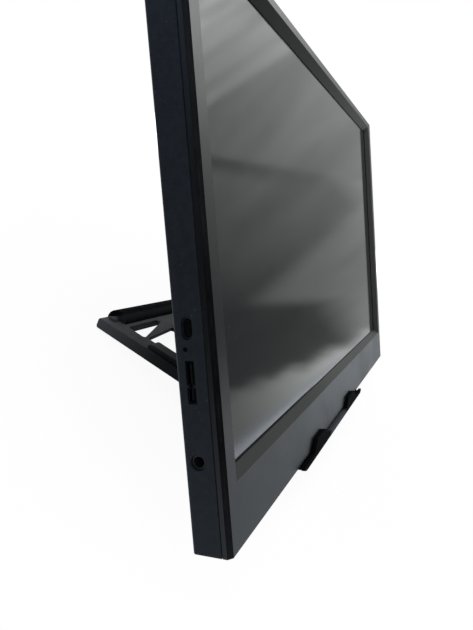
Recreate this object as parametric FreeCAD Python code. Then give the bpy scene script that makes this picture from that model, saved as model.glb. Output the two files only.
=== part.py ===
import FreeCAD, Part
import math
import os

V = FreeCAD.Vector
X_AXIS = V(1, 0, 0)
Y_AXIS = V(0, 1, 0)
Z_AXIS = V(0, 0, 1)

# Overrun of every cut past the face it leaves by
OVER = 1.0

# Share of a half width taken by a full round edge
ROUND_SHARE = 0.98

# Tolerances for picking edges: distance, and angle in degrees
SAME = 0.02
PARALLEL = 1.0

# Monitor housing
MON_W = 309.6
MON_H = 190.5
CORNER_R = 2.0
BEZEL_DEPTH = 3.2
BEZEL_FACE = 1.6
SIDE_BEZEL = 7.6
TOP_BEZEL = 4.8
BOTTOM_BEZEL = 21.0
SIDE_SLOPE = 3.0
TOP_SLOPE = 3.8
LOW_SLOPE = 3.4
FRONT_CHAMFER = 1.5
LOW_ROUND = 0.5
PARTING_CHAMFER = 0.25
REAR_ROUND = 1.1
WALL = 1.2
BACK_WALL = 1.5
TONGUE_T = 0.8
TONGUE_GAP = 0.1
TONGUE_REACH = 1.8
TONGUE_END = 12.0
WINDOW_WALL = 1.0

# Display panel
LCD_DEPTH = 3.4
CELL_T = 1.2
CELL_SIDE = 2.5
CELL_TOP = 3.0
CELL_LOW = 9.3
GUIDE_T = 1.3
GUIDE_LOW = 3.2
LED_BAR_H = 1.2
LED_BAR_END = 6.0
TRAY_T = 0.4
TRAY_WALL = 0.3
TRAY_GAP = 0.2
TRAY_RIM_DROP = 0.4
GASKET_T = 0.4
GASKET_GAP = 0.1
GASKET_SIDE = 1.7

# Panel board and flat cable
PANEL_BOARD_LEFT = 90.0
PANEL_BOARD_RIGHT = 100.0
PANEL_BOARD_UP = 2.1
PANEL_BOARD_H = 11.0
BOARD_T = 0.8
CABLE_T = 0.25
CABLE_W = 6.0
CABLE_LAP = 6.0
CABLE_RUN = 8.0

# Main board
MAIN_GAP = 1.3
MAIN_W = 55.0
MAIN_UP = 2.0
MAIN_OVER_BUTTON = 10.1
MAIN_LIFT = 1.0
BOSS_R = 1.9
BOARD_SCREW_R = 0.8
BOARD_SCREW_LEN = 2.2
BOARD_HEAD_R = 1.5
BOARD_HEAD_T = 0.8
BOARD_SCREW_INSET = 3.6
BOARD_SCREW_IN = 19.0
SHIELD_W = 26.0
SHIELD_H = 24.0
SHIELD_T = 0.3
SHIELD_RISE = 2.2
SHIELD_FROM_LEFT = 21.0
SHIELD_FROM_LOW = 28.0
CHIP_SIDE = 12.0
CHIP_T = 1.2
SMALL_CHIP_W = 6.0
SMALL_CHIP_H = 4.5
SMALL_CHIP_T = 1.0
SMALL_CHIP_PITCH = 10.0
SMALL_CHIPS = 3
LED_CHIP = 1.0
LED_CHIP_T = 0.6

# Side openings on the left, from the lowest upwards with the clear height between them
BUTTON_LEN = 5.0
BUTTON_WIDE = 2.2
BUTTON_GAP = 0.3
BUTTON_SET = 0.9
SCOOP_LEN = 6.9
SCOOP_WIDE = 3.6
SCOOP_DEEP = 0.8
FLANGE_LEN = 8.0
FLANGE_WIDE = 2.2
FLANGE_T = 0.8
FLANGE_GAP = 0.1
STEM_R = 0.9
STEM_LEN = 1.2
PLUNGER_R = 0.7
PLUNGER_LEN = 1.6
PLUNGER_GAP = 0.1
PLUNGER_OUT = 0.8
SWITCH_LEN = 3.4
SWITCH_W = 4.4
SWITCH_T = 2.7
SWITCH_BORE = 1.8
BUTTON_OVER_PIPE = 1.1
PIPE_OVER_USB = 2.4
PIPE_R = 0.7
PIPE_FIT = 0.05
PIPE_SET = 0.1
PIPE_FLANGE_R = 1.1
PIPE_FLANGE_T = 0.7
USB_OVER_JACK = 15.25
USB_T = 2.6
USB_LONG = 7.0
USB_SHORT = 4.6
USB_NECK = 1.0
USB_NECK_T = 1.3
USB_SHELL = 0.3
USB_DEEP = 8.6
USB_CAVITY = 6.2
USB_TONGUE_T = 0.7
USB_TONGUE_DEEP = 5.8
USB_TONGUE_SIDE = 0.7
USB_GAP = 0.2
USB_SET = 0.3
JACK_UP = 10.4
JACK_ROOM = 0.35
JACK_BACK = 0.75
JACK_BORE_R = 1.8
JACK_NOSE_R = 2.15
JACK_HOLE_R = 2.35
JACK_RING_R = 2.7
JACK_SET = 1.0
JACK_T = 4.3
JACK_W = 6.0
JACK_LEN = 12.0
JACK_BORE_LEN = 12.6
JACK_TAB = 1.6
JACK_TAB_T = 0.4
JACK_NOTCH_GAP = 0.2

# Cover screws, vents and ribs
COVER_SCREWS = 5
COVER_SCREW_END = 23.5
COVER_SCREW_V = 7.4
COVER_SCREW_R = 1.0
COVER_SCREW_LEN = 6.4
COVER_HEAD_R = 1.9
COVER_HEAD_T = 1.1
COVER_SEAT = 1.4
HEAD_GAP = 0.2
POST_R = 2.6
POST_TOP = 7.6
SCREW_GAP = 0.15
THREAD_FIT = 0.02
CROSS_LEN_SHARE = 1.3
CROSS_WIDE_SHARE = 0.3
CROSS_DEEP_SHARE = 0.5
VENTS = 14
VENT_PITCH = 8.0
VENT_LEN = 14.0
VENT_WIDE = 1.6
VENT_DROP = 38.8
RIB_T = 1.2
RIBS = 4
RIB_PITCH = 58.0
RIB_FIRST = -62.0
RIB_OVER_BOARD = 8.0
RIB_UNDER_VENT = 10.0
BACK_PANEL_INSET = 14.0
BACK_PANEL_DEEP = 0.35
BACK_PANEL_R = 8.0

# Stand: back plate, ledge and hooks
LEAN = 38.3
STAND_OFFSET = -17.0
REST_GAP = 0.1
PAD_T = 0.8
PLATE_T = 3.4
PLATE_INSET = 3.0
PLATE_TOP = 96.0
PLATE_R = 12.0
LEDGE_OVERHANG = 0.5
LEDGE_T = 1.8
LIP_GAP = 0.3
LIP_T = 1.5
LIP_TOP = -0.5
LIP_ROUND = 0.4
LIP_END_IN = 3.0
LIP_END_UP = 1.0
HOOK_ROUND = 1.2
HOOK_W = 24.0
HOOK_SHOULDER = 5.0
HOOK_TOP = 4.2
HOOK_PITCH = 72.0
LEDGE_PAD_W = 26.0
LEDGE_PAD_INSET = 2.0
LEDGE_PAD_DEEP = 8.0
REST_PAD_R = 6.0
REST_PAD_SIDE = 16.0
REST_PAD_LOW = 42.0
REST_PAD_DROP = 12.0
WINDOW_R = 2.0
REST_SPINE = 9.0
REST_ROWS = 3
REST_TOP_RIM = 8.0
REST_ROW_GAP = 8.0
REST_ROW_LOW = 30.0
REST_WIN_W = 27.0
HEEL_LIFT = 1.0
HEEL_PAD_T = 2.2
HEEL_PAD_LOW = 8.0
HEEL_PAD_UP = 6.0
HEEL_PAD_W = 26.0
HEEL_PAD_SIDE = 15.0

# Hinge
HINGE_V = 18.15
KNUCKLE_R = 5.0
KNUCKLE_GAP = 0.5
KNUCKLE_W = 10.0
LUG_W = 10.0
PIN_R = 2.0
PIN_FIT = 0.05
PIN_HEAD_R = 3.4
PIN_HEAD_T = 1.6
PIN_HEAD_SET = 0.4
PIN_HEAD_GAP = 0.3
PIN_TAIL = 0.8
WASHER_R = 4.2
WASHER_T = 0.8
WASHERS = 2
WASHER_GAP = 0.05
NUT_R = 3.6
NUT_SIDES = 6
NUT_T = 2.8
STOP_W = 8.0
STOP_X = 24.0
STOP_GAP = 0.15
STOP_REACH = 6.0
STOP_LOW = 11.0
STOP_UP = 4.0

# Leg
LEG_W = 132.0
LEG_T = 5.2
LEG_END = 88.4
LEG_ROOT = 6.6
END_ROUND = 1.2
FOOT_INSET = 4.0
FOOT_R = 5.4
FOOT_RISE = 1.5
FOOT_FLAT = 0.3
CORE_R = 2.4
SLEEVE_FIT = 0.02
SIDE_RAIL = 9.0
SLEEVE_GAP = 0.3
PANE_SIDE = 8.5
PANE_R = 1.4
END_RAIL = 12.0
SLIM_W = 34.3
SLIM_H = 10.6
FAN_TOP = 23.5
FAN_RISE = 3.0
FAN_SIDE = 10.0
FAN_W = 32.0
FAN_H = 20.0
FAN_WEB = 7.5
SLANT_GAP = 12.0
CENTRE_GAP = 9.0
CENTRE_W = 27.0
CENTRE_H = 19.0
CENTRE_TOP = 25.5
RAIL_RISE = 2.4
RAIL_W = 6.5
RAIL_FROM = 8.0
RAIL_BACK = 29.0
RAIL_EDGE = 1.8
WEB_T = 2.2
WEB_RIM = 4.5
WEB_FROM = 14.0
WEB_R = 3.0
APRON_DEEP = 0.6
APRON_FROM = 13.0
APRON_RIM = 5.7
APRON_W = 46.0
APRON_R = 4.0


def block(x0, x1, d0, d1, v0, v1):
    return Part.makeBox(x1 - x0, d1 - d0, v1 - v0, V(x0, d0, v0))


def rod(centre, axis, radius, length):
    return Part.makeCylinder(radius, length, centre, axis)


def edges_along(shape, axis):
    found = []
    for edge in shape.Edges:
        run = edge.Vertexes[-1].Point - edge.Vertexes[0].Point
        if run.Length > 0 and abs(run.normalize().dot(axis)) > math.cos(math.radians(PARALLEL)):
            found.append(edge)
    return found


def edges_in_plane(shape, axis, level):
    found = []
    for edge in shape.Edges:
        box = edge.BoundBox
        low = V(box.XMin, box.YMin, box.ZMin).dot(axis)
        high = V(box.XMax, box.YMax, box.ZMax).dot(axis)
        if abs(low - level) < SAME and abs(high - level) < SAME:
            found.append(edge)
    return found


def rounded_block(x0, x1, d0, d1, v0, v1, radius):
    shape = block(x0, x1, d0, d1, v0, v1)
    return shape.makeFillet(radius, edges_along(shape, Y_AXIS))


# Part of the housing: round upper corners, nearly sharp lower edges, outer rim cut flat or rounded
def housing_block(d0, d1, outer, cut, radius):
    shape = block(-half_w, half_w, d0, d1, 0, MON_H)
    corners = [e for e in edges_along(shape, Y_AXIS) if e.BoundBox.ZMin > MON_H / 2]
    shape = shape.makeFillet(CORNER_R, corners)
    rim = [e for e in edges_in_plane(shape, Y_AXIS, outer) if e.BoundBox.ZMax > SAME]
    if cut:
        shape = shape.makeChamfer(cut, rim)
    else:
        shape = shape.makeFillet(radius, rim)
    inner = d0 + d1 - outer
    low = []
    for edge in edges_in_plane(shape, Z_AXIS, 0):
        if abs(edge.BoundBox.YMin - inner) > SAME or abs(edge.BoundBox.YMax - inner) > SAME:
            low.append(edge)
    shape = shape.makeFillet(LOW_ROUND, low)
    return shape.makeChamfer(PARTING_CHAMFER, edges_in_plane(shape, Y_AXIS, inner))


def rounded_face(points, radius):
    corners = []
    count = len(points)
    for i in range(count):
        here = points[i]
        back = (points[i - 1] - here).normalize()
        ahead = (points[(i + 1) % count] - here).normalize()
        half = back.getAngle(ahead) / 2
        reach = radius / math.tan(half)
        inward = (back + ahead).normalize()
        middle = here + inward * (radius / math.sin(half) - radius)
        corners.append((here + back * reach, middle, here + ahead * reach))
    edges = []
    for i in range(count):
        start, middle, stop = corners[i]
        edges.append(Part.Arc(start, middle, stop).toShape())
        edges.append(Part.makeLine(stop, corners[(i + 1) % count][0]))
    return Part.Face(Part.Wire(edges))


def stadium(x0, x1, d, v, length, wide):
    half = wide / 2
    shape = block(x0, x1, d - half, d + half, v - length / 2, v + length / 2)
    return shape.makeFillet(half * ROUND_SHARE, edges_along(shape, X_AXIS))


def fused(shapes):
    whole = shapes[0]
    for shape in shapes[1:]:
        whole = whole.fuse(shape)
    return whole.removeSplitter()


def cut_all(shape, tools):
    for tool in tools:
        shape = shape.cut(tool)
    return shape


def cross_recess(centre, axis, side, head_r):
    long_half = head_r * CROSS_LEN_SHARE / 2
    wide_half = head_r * CROSS_WIDE_SHARE / 2
    up = axis.cross(side)
    deep = head_r * CROSS_DEEP_SHARE
    arms = []
    for along, across in ((side, up), (up, side)):
        ring = []
        for a, b in ((-1, -1), (1, -1), (1, 1), (-1, 1)):
            ring.append(centre + along * (a * long_half) + across * (b * wide_half))
        ring.append(ring[0])
        arms.append(Part.Face(Part.makePolygon(ring)).extrude(axis * deep))
    return arms


# Derived housing sizes, measured from the middle, the front face and the bottom edge
half_w = MON_W / 2
mon_t = LCD_DEPTH + CELL_T + GUIDE_T + TRAY_T + JACK_ROOM + JACK_T + JACK_BACK + BACK_WALL
left = -half_w
win_x = half_w - SIDE_BEZEL
win_low = BOTTOM_BEZEL
win_high = MON_H - TOP_BEZEL
see_x = win_x - SIDE_SLOPE
see_low = win_low + LOW_SLOPE
see_high = win_high - TOP_SLOPE
inner_x = half_w - WALL
inner_low = WALL
inner_high = MON_H - WALL
back_inner = mon_t - BACK_WALL
cell_x = see_x + CELL_SIDE
cell_low = see_low - CELL_LOW
cell_high = see_high + CELL_TOP
cell_back = LCD_DEPTH + CELL_T
guide_back = cell_back + GUIDE_T
tray_back = guide_back + TRAY_T
tray_in_x = cell_x + TRAY_GAP
tray_in_low = cell_low - TRAY_GAP
tray_in_high = cell_high + TRAY_GAP
main_back = back_inner - MAIN_LIFT
main_front = main_back - BOARD_T
main_x0 = left + WALL + MAIN_GAP
main_x1 = main_x0 + MAIN_W
panel_board_v = tray_in_low + PANEL_BOARD_UP
cable_v = panel_board_v + (PANEL_BOARD_H - CABLE_W) / 2
usb_total = USB_LONG + USB_NECK + USB_SHORT
main_low = panel_board_v + MAIN_UP
jack_v = main_low + JACK_UP
usb_v = jack_v + JACK_W / 2 + USB_OVER_JACK + usb_total / 2
pipe_v = usb_v + usb_total / 2 + PIPE_OVER_USB + PIPE_FLANGE_R
button_v = pipe_v + PIPE_FLANGE_R + BUTTON_OVER_PIPE + FLANGE_LEN / 2
main_high = button_v + MAIN_OVER_BUTTON
jack_d = tray_back + JACK_ROOM + JACK_T / 2
button_d = main_front - SWITCH_T / 2
pipe_d = main_front - LED_CHIP_T / 2
vent_v = MON_H - VENT_DROP
cover_pitch = (MON_W - COVER_SCREW_END * 2) / (COVER_SCREWS - 1)
cover_xs = []
for i in range(COVER_SCREWS):
    cover_xs.append(i * cover_pitch - half_w + COVER_SCREW_END)
board_screw_at = [
    (main_x0 + BOARD_SCREW_INSET, main_high - BOARD_SCREW_INSET),
    (main_x1 - BOARD_SCREW_INSET, main_high - BOARD_SCREW_INSET),
    (main_x1 - BOARD_SCREW_INSET, (main_low + main_high) / 2),
    (main_x0 + BOARD_SCREW_IN, main_low + BOARD_SCREW_INSET),
]


def usb_outline(x0, x1, grow):
    low = usb_v - usb_total / 2
    front = main_front - USB_T
    mid = main_front - USB_T / 2
    short = block(x0, x1, front - grow, main_front + grow, low - grow, low + USB_SHORT + grow)
    long_low = low + USB_SHORT + USB_NECK
    long = block(x0, x1, front - grow, main_front + grow, long_low - grow,
                 long_low + USB_LONG + grow)
    neck = block(x0, x1, mid - USB_NECK_T / 2 - grow, mid + USB_NECK_T / 2 + grow,
                 low + USB_SHORT / 2, long_low + USB_LONG / 2)
    return fused([short, long, neck])


# Opening of the bezel, narrowing from its front face to the display
def window_slope(d0, d1):
    rings = []
    for d in (d0, d1):
        part = d / (LCD_DEPTH - GASKET_T)
        x = win_x - SIDE_SLOPE * part
        low = win_low + LOW_SLOPE * part
        high = win_high - TOP_SLOPE * part
        rings.append(Part.makePolygon([V(-x, d, low), V(x, d, low), V(x, d, high), V(-x, d, high),
                                       V(-x, d, low)]))
    return Part.makeLoft(rings, True, True)


# Front bezel: outer frame, window wall, tongues and screw posts
def make_front_bezel():
    shell = housing_block(0, BEZEL_DEPTH, 0, FRONT_CHAMFER, 0)
    hollow = block(-inner_x, inner_x, BEZEL_FACE, BEZEL_DEPTH + OVER, inner_low, inner_high)
    shell = shell.cut(hollow)
    wall_back = LCD_DEPTH - GASKET_T
    ring = block(-win_x - WINDOW_WALL, win_x + WINDOW_WALL, BEZEL_FACE, wall_back,
                 win_low - WINDOW_WALL, win_high + WINDOW_WALL)
    pieces = [shell, ring]
    tongue_out = inner_x - TONGUE_GAP
    tongue_in = tongue_out - TONGUE_T
    tongue_back = BEZEL_DEPTH + TONGUE_REACH
    for side in (-1, 1):
        x0, x1 = sorted((side * tongue_in, side * tongue_out))
        pieces.append(block(x0, x1, BEZEL_FACE, tongue_back, TONGUE_END, MON_H - TONGUE_END))
    pieces.append(block(-half_w + TONGUE_END, half_w - TONGUE_END, BEZEL_FACE, tongue_back,
                        inner_low + TONGUE_GAP, inner_low + TONGUE_GAP + TONGUE_T))
    for x in cover_xs:
        pieces.append(rod(V(x, BEZEL_FACE, COVER_SCREW_V), Y_AXIS, POST_R, POST_TOP - BEZEL_FACE))
    shape = fused(pieces)
    shape = shape.cut(window_slope(-OVER, wall_back + OVER))
    holes = []
    for x in cover_xs:
        deep = COVER_SCREW_LEN + OVER
        start = mon_t - COVER_SEAT - deep
        holes.append(rod(V(x, start, COVER_SCREW_V), Y_AXIS, COVER_SCREW_R + THREAD_FIT,
                         mon_t - start))
    return cut_all(shape, holes)


# Rear cover: tray with ribs, bosses, side openings, vents and screw seats
def make_rear_cover():
    shell = housing_block(BEZEL_DEPTH, mon_t, mon_t, 0, REAR_ROUND)
    hollow = block(-inner_x, inner_x, BEZEL_DEPTH - OVER, back_inner, inner_low, inner_high)
    pieces = [shell.cut(hollow)]
    for i in range(RIBS):
        x = RIB_FIRST + i * RIB_PITCH
        pieces.append(block(x - RIB_T / 2, x + RIB_T / 2, tray_back, back_inner + SAME,
                            panel_board_v + PANEL_BOARD_H + RIB_OVER_BOARD,
                            vent_v - RIB_UNDER_VENT))
    for x in cover_xs:
        pieces.append(rod(V(x, POST_TOP, COVER_SCREW_V), Y_AXIS, POST_R,
                          back_inner - POST_TOP + SAME))
    for x, v in board_screw_at:
        pieces.append(rod(V(x, main_back, v), Y_AXIS, BOSS_R, MAIN_LIFT + SAME))
    shape = fused(pieces)
    tools = []
    for x in cover_xs:
        tools.append(rod(V(x, POST_TOP - OVER, COVER_SCREW_V), Y_AXIS, COVER_SCREW_R + SCREW_GAP,
                         mon_t))
        tools.append(rod(V(x, mon_t - COVER_SEAT, COVER_SCREW_V), Y_AXIS, COVER_HEAD_R + HEAD_GAP,
                         COVER_SEAT + OVER))
    for x, v in board_screw_at:
        tools.append(rod(V(x, main_back - OVER, v), Y_AXIS, BOARD_SCREW_R + THREAD_FIT,
                         BOARD_SCREW_LEN - BOARD_T + OVER))
    tools.append(stadium(left - OVER, left + SCOOP_DEEP, button_d, button_v, SCOOP_LEN, SCOOP_WIDE))
    tools.append(stadium(left - OVER, left + WALL + OVER, button_d, button_v,
                         BUTTON_LEN + BUTTON_GAP * 2, BUTTON_WIDE + BUTTON_GAP * 2))
    tools.append(rod(V(left - OVER, pipe_d, pipe_v), X_AXIS, PIPE_R + PIPE_FIT, WALL + OVER * 2))
    tools.append(usb_outline(left - OVER, left + WALL + OVER, USB_GAP))
    tools.append(rod(V(left - OVER, jack_d, jack_v), X_AXIS, JACK_HOLE_R, WALL + OVER * 2))
    tools.append(Part.makeCone(JACK_RING_R, JACK_HOLE_R, JACK_RING_R - JACK_HOLE_R,
                               V(left, jack_d, jack_v), X_AXIS))
    first = -(VENTS - 1) / 2 * VENT_PITCH
    for i in range(VENTS):
        x = first + i * VENT_PITCH
        slot = block(x - VENT_WIDE / 2, x + VENT_WIDE / 2, back_inner - OVER, mon_t + OVER,
                     vent_v, vent_v + VENT_LEN)
        tools.append(slot.makeFillet(VENT_WIDE / 2 * ROUND_SHARE, edges_along(slot, Y_AXIS)))
    tools.append(rounded_block(-half_w + BACK_PANEL_INSET, half_w - BACK_PANEL_INSET,
                               mon_t - BACK_PANEL_DEEP, mon_t + OVER,
                               BACK_PANEL_INSET, MON_H - BACK_PANEL_INSET, BACK_PANEL_R))
    return cut_all(shape, tools)


# Display panel pieces, stacked from the glass backwards
def make_panel():
    cell = block(-cell_x, cell_x, LCD_DEPTH, cell_back, cell_low, cell_high)
    guide_low = cell_low + GUIDE_LOW
    guide = block(-cell_x, cell_x, cell_back, guide_back, guide_low, cell_high)
    led_bar = block(-cell_x + LED_BAR_END, cell_x - LED_BAR_END, cell_back, guide_back,
                    guide_low - LED_BAR_H, guide_low)
    outer_x = tray_in_x + TRAY_WALL
    tray = block(-outer_x, outer_x, LCD_DEPTH + TRAY_RIM_DROP, tray_back,
                 tray_in_low - TRAY_WALL, tray_in_high + TRAY_WALL)
    tray = tray.cut(block(-tray_in_x, tray_in_x, 0, guide_back, tray_in_low, tray_in_high))
    gasket = block(-see_x - GASKET_SIDE, see_x + GASKET_SIDE, LCD_DEPTH - GASKET_T, LCD_DEPTH,
                   see_low - GASKET_SIDE, see_high + GASKET_SIDE)
    gasket = gasket.cut(block(-see_x - GASKET_GAP, see_x + GASKET_GAP, 0, mon_t,
                              see_low - GASKET_GAP, see_high + GASKET_GAP))
    board = block(-PANEL_BOARD_LEFT, PANEL_BOARD_RIGHT, tray_back, tray_back + BOARD_T,
                  panel_board_v, panel_board_v + PANEL_BOARD_H)
    face = tray_back + BOARD_T
    lap = -PANEL_BOARD_LEFT + CABLE_LAP
    far = -PANEL_BOARD_LEFT - CABLE_RUN
    end = far - CABLE_LAP
    near = main_front - CABLE_T
    profile = [V(lap, face, cable_v), V(-PANEL_BOARD_LEFT, face, cable_v), V(far, near, cable_v),
               V(end, near, cable_v), V(end, main_front, cable_v), V(far, main_front, cable_v),
               V(-PANEL_BOARD_LEFT, face + CABLE_T, cable_v), V(lap, face + CABLE_T, cable_v)]
    cable = Part.Face(Part.makePolygon(profile + [profile[0]])).extrude(V(0, 0, CABLE_W))
    return {"lcd_cell": cell, "light_guide": guide, "led_bar": led_bar, "panel_tray": tray,
            "panel_gasket": gasket, "panel_board": board, "panel_cable": cable}


# Main board with its chips, shield can and screws
def make_board():
    board = block(main_x0, main_x1, main_front, main_back, main_low, main_high)
    notch = JACK_W / 2 + JACK_NOTCH_GAP
    jack_end = left + JACK_SET + WALL + JACK_LEN + JACK_NOTCH_GAP
    tools = [block(main_x0 - OVER, jack_end, main_front - OVER, main_back + OVER,
                   jack_v - notch, jack_v + notch)]
    screws = []
    for x, v in board_screw_at:
        tools.append(rod(V(x, main_front - OVER, v), Y_AXIS, BOARD_SCREW_R + SCREW_GAP,
                         BOARD_T + OVER * 2))
        shank = rod(V(x, main_front, v), Y_AXIS, BOARD_SCREW_R, BOARD_SCREW_LEN)
        head = rod(V(x, main_front - BOARD_HEAD_T, v), Y_AXIS, BOARD_HEAD_R, BOARD_HEAD_T)
        recess = cross_recess(V(x, main_front - BOARD_HEAD_T, v), Y_AXIS, X_AXIS, BOARD_HEAD_R)
        screws.append(cut_all(head.fuse(shank).removeSplitter(), recess))
    board = cut_all(board, tools)
    can_x = main_x0 + SHIELD_FROM_LEFT
    can_v = main_low + SHIELD_FROM_LOW
    can = block(can_x, can_x + SHIELD_W, main_front - SHIELD_RISE, main_front,
                can_v, can_v + SHIELD_H)
    can = can.cut(block(can_x + SHIELD_T, can_x + SHIELD_W - SHIELD_T,
                        main_front - SHIELD_RISE + SHIELD_T, main_front + OVER,
                        can_v + SHIELD_T, can_v + SHIELD_H - SHIELD_T))
    mid_x = can_x + SHIELD_W / 2
    mid_v = can_v + SHIELD_H / 2
    chips = [block(mid_x - CHIP_SIDE / 2, mid_x + CHIP_SIDE / 2, main_front - CHIP_T, main_front,
                   mid_v - CHIP_SIDE / 2, mid_v + CHIP_SIDE / 2)]
    for i in range(SMALL_CHIPS):
        x = can_x + i * SMALL_CHIP_PITCH
        v = can_v - SMALL_CHIP_PITCH
        chips.append(block(x, x + SMALL_CHIP_W, main_front - SMALL_CHIP_T, main_front,
                           v, v + SMALL_CHIP_H))
    chips.append(block(main_x0, main_x0 + LED_CHIP, main_front - LED_CHIP_T, main_front,
                       pipe_v - LED_CHIP / 2, pipe_v + LED_CHIP / 2))
    return {"main_board": board, "board_shield": can, "board_chips": Part.makeCompound(chips),
            "board_screws": Part.makeCompound(screws)}


# Sockets, switch, button and light window in the left side
def make_side():
    usb_x0 = left + USB_SET
    body = usb_outline(usb_x0, usb_x0 + USB_DEEP, 0)
    cavity = usb_outline(usb_x0 - OVER, usb_x0 + USB_CAVITY, -USB_SHELL)
    mid = main_front - USB_T / 2
    blade = block(usb_x0 + USB_CAVITY - USB_TONGUE_DEEP, usb_x0 + USB_CAVITY + USB_SHELL,
                  mid - USB_TONGUE_T / 2, mid + USB_TONGUE_T / 2,
                  usb_v - usb_total / 2 + USB_TONGUE_SIDE, usb_v + usb_total / 2 - USB_TONGUE_SIDE)
    usb = body.cut(cavity).fuse(blade).removeSplitter()
    nose_x = left + JACK_SET
    body_x = nose_x + WALL
    jack_front = jack_d - JACK_T / 2
    jack = block(body_x, body_x + JACK_LEN, jack_front, jack_front + JACK_T,
                 jack_v - JACK_W / 2, jack_v + JACK_W / 2)
    nose = rod(V(nose_x, jack_d, jack_v), X_AXIS, JACK_NOSE_R, WALL + JACK_TAB)
    tabs = block(body_x + JACK_TAB, body_x + JACK_LEN - JACK_TAB, main_front - JACK_TAB_T,
                 main_front, jack_v - JACK_W / 2 - JACK_TAB, jack_v + JACK_W / 2 + JACK_TAB)
    jack = fused([jack, nose, tabs])
    jack = jack.cut(rod(V(nose_x - OVER, jack_d, jack_v), X_AXIS, JACK_BORE_R,
                        JACK_BORE_LEN + OVER))
    flange_x = left + WALL + FLANGE_GAP
    cap = stadium(left + BUTTON_SET, flange_x + FLANGE_T / 2, button_d, button_v,
                  BUTTON_LEN, BUTTON_WIDE)
    flange = stadium(flange_x, flange_x + FLANGE_T, button_d, button_v, FLANGE_LEN, FLANGE_WIDE)
    stem_x = flange_x + FLANGE_T
    stem = rod(V(stem_x - FLANGE_T / 2, button_d, button_v), X_AXIS, STEM_R,
               STEM_LEN + FLANGE_T / 2)
    button = fused([cap, flange, stem])
    plunger_x = stem_x + STEM_LEN
    plunger = rod(V(plunger_x, button_d, button_v), X_AXIS, PLUNGER_R, PLUNGER_LEN)
    switch_x = plunger_x + PLUNGER_OUT
    switch = block(switch_x, switch_x + SWITCH_LEN, main_front - SWITCH_T, main_front,
                   button_v - SWITCH_W / 2, button_v + SWITCH_W / 2)
    switch = switch.cut(rod(V(switch_x - OVER, button_d, button_v), X_AXIS,
                            PLUNGER_R + PLUNGER_GAP, SWITCH_BORE + OVER))
    pipe = rod(V(left + PIPE_SET, pipe_d, pipe_v), X_AXIS, PIPE_R, WALL - PIPE_SET + PIPE_FLANGE_T)
    collar = rod(V(left + WALL, pipe_d, pipe_v), X_AXIS, PIPE_FLANGE_R, PIPE_FLANGE_T)
    return {"usb_port": usb, "audio_jack": jack, "power_button": button,
            "switch_plunger": plunger, "tact_switch": switch, "light_pipe": fused([pipe, collar])}


def make_cover_screws():
    screws = []
    seat = mon_t - COVER_SEAT
    for x in cover_xs:
        shank = rod(V(x, seat - COVER_SCREW_LEN, COVER_SCREW_V), Y_AXIS, COVER_SCREW_R,
                    COVER_SCREW_LEN)
        head = rod(V(x, seat, COVER_SCREW_V), Y_AXIS, COVER_HEAD_R, COVER_HEAD_T)
        recess = cross_recess(V(x, seat + COVER_HEAD_T, COVER_SCREW_V), Y_AXIS * -1, X_AXIS,
                              COVER_HEAD_R)
        screws.append(cut_all(head.fuse(shank).removeSplitter(), recess))
    return Part.makeCompound(screws)


# Stand levels in the leaning frame
plate_front = mon_t + REST_GAP + PAD_T
plate_back = plate_front + PLATE_T
ledge_top = -REST_GAP - PAD_T
ledge_low = ledge_top - LEDGE_T
lip_back = -LIP_GAP
lip_front = lip_back - LIP_T
hinge_d = plate_back + KNUCKLE_R + KNUCKLE_GAP
leg_half = LEG_W / 2
plate_w = LEG_W - PLATE_INSET * 2
ledge_w = LEG_W + LEDGE_OVERHANG * 2
foot_at = LEG_END - FOOT_INSET
lug_out = leg_half - KNUCKLE_W - WASHER_GAP - WASHERS * WASHER_T
lug_in = lug_out - LUG_W


# Placing: the monitor and back plate lean back, the leg slopes down to its foot
lean = math.radians(LEAN)
heel_z = ledge_low * math.cos(lean) - plate_back * math.sin(lean)
front_y = lip_front * math.cos(lean) + ledge_low * math.sin(lean)
crest_d = mon_t - REAR_ROUND
crest_v = MON_H - REAR_ROUND
rear_y = crest_d * math.cos(lean) + crest_v * math.sin(lean) + REAR_ROUND
shift = V(0, -(front_y + rear_y) / 2, HEEL_LIFT - heel_z)
hinge_y = hinge_d * math.cos(lean) + HINGE_V * math.sin(lean) + shift.y
hinge_z = HINGE_V * math.cos(lean) - hinge_d * math.sin(lean) + shift.z
foot_drop = hinge_z - FOOT_R + FOOT_FLAT
slope = math.asin(foot_drop / math.hypot(foot_at, FOOT_RISE)) + math.atan2(FOOT_RISE, foot_at)
spread = lean - slope


# Point beside the hinge line, measured along the open leg and square to it
def on_leg(x, along, above):
    d = hinge_d + along * math.cos(spread) - above * math.sin(spread)
    return V(x, d, HINGE_V + along * math.sin(spread) + above * math.cos(spread))


# Rib on the back plate that the open leg comes to rest against
def make_stop(x):
    under = -LEG_T / 2 - STOP_GAP
    root = plate_back - PLATE_T / 2
    side = x - STOP_W / 2
    ring = [V(side, root, HINGE_V - STOP_LOW), V(side, root, HINGE_V - STOP_UP),
            on_leg(side, LEG_ROOT, under), on_leg(side, LEG_ROOT + STOP_REACH, under)]
    return Part.Face(Part.makePolygon(ring + [ring[0]])).extrude(V(STOP_W, 0, 0))


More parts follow.
